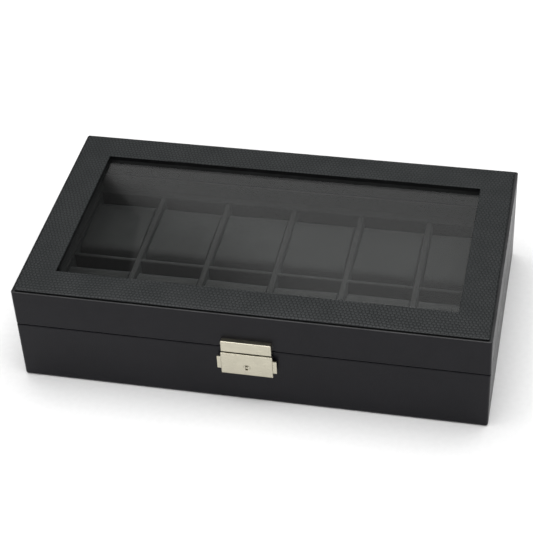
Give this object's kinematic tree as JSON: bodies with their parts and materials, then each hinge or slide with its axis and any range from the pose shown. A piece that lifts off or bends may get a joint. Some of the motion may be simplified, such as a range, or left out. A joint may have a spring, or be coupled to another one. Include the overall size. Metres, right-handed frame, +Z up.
{
  "type": "watch box",
  "caption": "Leather covered watch box with a hinged glazed lid, cushioned compartments, and a sliding front lock with a key plug.",
  "frame": {"origin": "centre of the underside, on the surface the box stands on", "axes": "+X to the right along the long side, +Y from the lock to the hinges, +Z up"},
  "size_m": [0.335, 0.1985, 0.08],
  "materials": {
    "board": "raw fibreboard",
    "side_leather": "fine grained, satin",
    "top_leather": "small scale embossed, satin",
    "edge_leather": "smooth, matt",
    "bottom_felt": "felt",
    "lining_velvet": "short pile",
    "divider_velvet": "short pile",
    "cushion_velvet": "soft pile",
    "window_glass": "clear, polished",
    "hinge_steel": "satin nickel plated",
    "lock_metal": "satin champagne nickel plated",
    "spring_steel": "bright wire"
  },
  "bodies": {
    "base": {"base_bottom_panel": "board", "base_front_wall": "board", "base_rear_wall": "board", "base_left_wall": "board", "base_right_wall": "board", "base_leather_wrap": "side_leather", "base_bottom_felt": "bottom_felt", "floor_lining": "lining_velvet", "base_lining_front": "lining_velvet", "base_lining_rear": "lining_velvet", "base_lining_left": "lining_velvet", "base_lining_right": "lining_velvet", "insert_front_rail": "divider_velvet", "insert_rear_rail": "divider_velvet", "insert_left_rail": "divider_velvet", "insert_right_rail": "divider_velvet", "long_divider": "divider_velvet", "cross_divider_1": "divider_velvet", "cross_divider_2": "divider_velvet", "cross_divider_3": "divider_velvet", "cross_divider_4": "divider_velvet", "cross_divider_5": "divider_velvet", "hinge_left_base_leaf": "hinge_steel", "hinge_right_base_leaf": "hinge_steel", "hinge_pins": "hinge_steel", "hinge_screws_base": "hinge_steel", "lock_back_plate": "lock_metal", "lock_springs": "spring_steel", "lock_rivets": "lock_metal"},
    "lid": {"lid_front_wall": "board", "lid_rear_wall": "board", "lid_left_wall": "board", "lid_right_wall": "board", "lid_leather_wrap": "side_leather", "lid_top_frame": "board", "lid_top_cover": "top_leather", "window_edge_strip": "edge_leather", "window_glass": "window_glass", "glass_retainer": "lining_velvet", "lid_lining": "lining_velvet", "hinge_left_lid_leaf": "hinge_steel", "hinge_right_lid_leaf": "hinge_steel", "hinge_screws_lid": "hinge_steel", "hasp_hook_plate": "lock_metal", "hasp_cover": "lock_metal", "hasp_rivets": "lock_metal"},
    "lock_slider": {"lock_cover": "lock_metal"},
    "lock_plug": {"lock_plug": "lock_metal"},
    "cushion_front_1": {"cushion_front_1": "cushion_velvet"},
    "cushion_front_2": {"cushion_front_2": "cushion_velvet"},
    "cushion_front_3": {"cushion_front_3": "cushion_velvet"},
    "cushion_front_4": {"cushion_front_4": "cushion_velvet"},
    "cushion_front_5": {"cushion_front_5": "cushion_velvet"},
    "cushion_front_6": {"cushion_front_6": "cushion_velvet"},
    "cushion_rear_1": {"cushion_rear_1": "cushion_velvet"},
    "cushion_rear_2": {"cushion_rear_2": "cushion_velvet"},
    "cushion_rear_3": {"cushion_rear_3": "cushion_velvet"},
    "cushion_rear_4": {"cushion_rear_4": "cushion_velvet"},
    "cushion_rear_5": {"cushion_rear_5": "cushion_velvet"},
    "cushion_rear_6": {"cushion_rear_6": "cushion_velvet"}
  },
  "joints": [
    {"name": "lid_hinge", "type": "hinge", "parent": "base", "child": "lid", "pos_m": [0, 0.0972, 0.04865], "axis": [-1, 0, 0], "range_deg": [0, 95]},
    {"name": "lock_slide", "type": "slide", "parent": "base", "child": "lock_slider", "axis": [0, 0, -1], "range_m": [0, 0.0025], "stiffness_N_per_m": 400, "springref_m": -0.001, "deforming": ["lock_springs"]},
    {"name": "key_plug_turn", "type": "hinge", "parent": "lock_slider", "child": "lock_plug", "pos_m": [0, -0.099, 0.0347], "axis": [0, -1, 0], "range_deg": [0, 90]},
    {"name": "cushion_front_1_lift", "type": "slide", "parent": "base", "child": "cushion_front_1", "axis": [0, 0, 1], "range_m": [0, 0.031]},
    {"name": "cushion_front_2_lift", "type": "slide", "parent": "base", "child": "cushion_front_2", "axis": [0, 0, 1], "range_m": [0, 0.031]},
    {"name": "cushion_front_3_lift", "type": "slide", "parent": "base", "child": "cushion_front_3", "axis": [0, 0, 1], "range_m": [0, 0.031]},
    {"name": "cushion_front_4_lift", "type": "slide", "parent": "base", "child": "cushion_front_4", "axis": [0, 0, 1], "range_m": [0, 0.031]},
    {"name": "cushion_front_5_lift", "type": "slide", "parent": "base", "child": "cushion_front_5", "axis": [0, 0, 1], "range_m": [0, 0.031]},
    {"name": "cushion_front_6_lift", "type": "slide", "parent": "base", "child": "cushion_front_6", "axis": [0, 0, 1], "range_m": [0, 0.031]},
    {"name": "cushion_rear_1_lift", "type": "slide", "parent": "base", "child": "cushion_rear_1", "axis": [0, 0, 1], "range_m": [0, 0.031]},
    {"name": "cushion_rear_2_lift", "type": "slide", "parent": "base", "child": "cushion_rear_2", "axis": [0, 0, 1], "range_m": [0, 0.031]},
    {"name": "cushion_rear_3_lift", "type": "slide", "parent": "base", "child": "cushion_rear_3", "axis": [0, 0, 1], "range_m": [0, 0.031]},
    {"name": "cushion_rear_4_lift", "type": "slide", "parent": "base", "child": "cushion_rear_4", "axis": [0, 0, 1], "range_m": [0, 0.031]},
    {"name": "cushion_rear_5_lift", "type": "slide", "parent": "base", "child": "cushion_rear_5", "axis": [0, 0, 1], "range_m": [0, 0.031]},
    {"name": "cushion_rear_6_lift", "type": "slide", "parent": "base", "child": "cushion_rear_6", "axis": [0, 0, 1], "range_m": [0, 0.031]}
  ]
}
